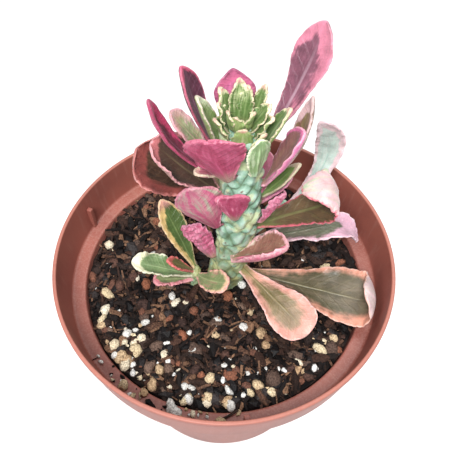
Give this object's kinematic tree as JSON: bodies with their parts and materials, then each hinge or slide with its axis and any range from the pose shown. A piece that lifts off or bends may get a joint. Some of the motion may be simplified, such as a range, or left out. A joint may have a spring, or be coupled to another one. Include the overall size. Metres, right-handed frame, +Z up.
{
  "type": "potted variegated euphorbia",
  "caption": "Knobbly upright succulent with green, pink and cream paddle-shaped leaves and a side shoot, in gritty soil in a round terracotta-coloured plastic nursery pot.",
  "frame": {"origin": "centre of the pot's foot, on the surface that the pot stands on", "axes": "+Z up along the pot's axis, -Y towards the viewer of the picture, +X to the viewer's right, where the stem leans"},
  "size_m": [0.13, 0.13, 0.1895],
  "materials": {
    "pot": "satin terracotta-coloured plastic, paler and a little pink on the lip",
    "soil": "rough bark, charcoal and lava grit with cream pumice and white perlite",
    "stem": "waxy pale blue-green skin, knobbly",
    "crown": "waxy young green leaves with cream and pink toothed margins",
    "leaf_maroon": "waxy maroon-mauve blade with a pale midrib and pink margins",
    "leaf_pink": "waxy pink blade streaked with pale green",
    "leaf_olive": "waxy olive-brown blade with crinkled coral and pink margins",
    "leaf_green": "waxy green blade with cream and pink toothed margins",
    "leaf_cream": "waxy mint-cream blade with green streaks and pink margins",
    "leaf_lilac": "waxy crinkled lilac-pink blade"
  },
  "bodies": {
    "root": {"pot": "pot", "soil": "soil", "stem": "stem", "side_shoot": "stem", "crown": "crown", "leaf_top_01": "leaf_maroon", "leaf_top_02": "leaf_maroon", "leaf_top_03": "leaf_pink", "leaf_top_04": "leaf_green", "leaf_top_05": "leaf_cream", "leaf_top_06": "leaf_pink", "leaf_top_07": "leaf_olive", "leaf_top_08": "leaf_green", "leaf_top_09": "leaf_cream", "leaf_top_10": "leaf_pink", "leaf_mid_01": "leaf_pink", "leaf_mid_02": "leaf_olive", "leaf_mid_03": "leaf_olive", "leaf_mid_04": "leaf_pink", "leaf_mid_05": "leaf_pink", "leaf_mid_06": "leaf_green", "leaf_mid_07": "leaf_pink", "leaf_mid_08": "leaf_pink", "leaf_mid_09": "leaf_pink", "leaf_low_01": "leaf_olive", "leaf_low_02": "leaf_cream", "leaf_low_03": "leaf_green", "leaf_low_04": "leaf_pink", "leaf_low_05": "leaf_lilac", "leaf_low_06": "leaf_lilac", "leaf_low_07": "leaf_olive", "leaf_low_08": "leaf_olive", "leaf_back_01": "leaf_olive", "leaf_back_02": "leaf_cream", "leaf_back_03": "leaf_pink", "leaf_back_04": "leaf_olive", "leaf_side_01": "leaf_green", "leaf_side_02": "leaf_olive", "leaf_side_03": "leaf_green", "leaf_side_04": "leaf_green", "leaf_side_05": "leaf_olive"}
  },
  "joints": []
}
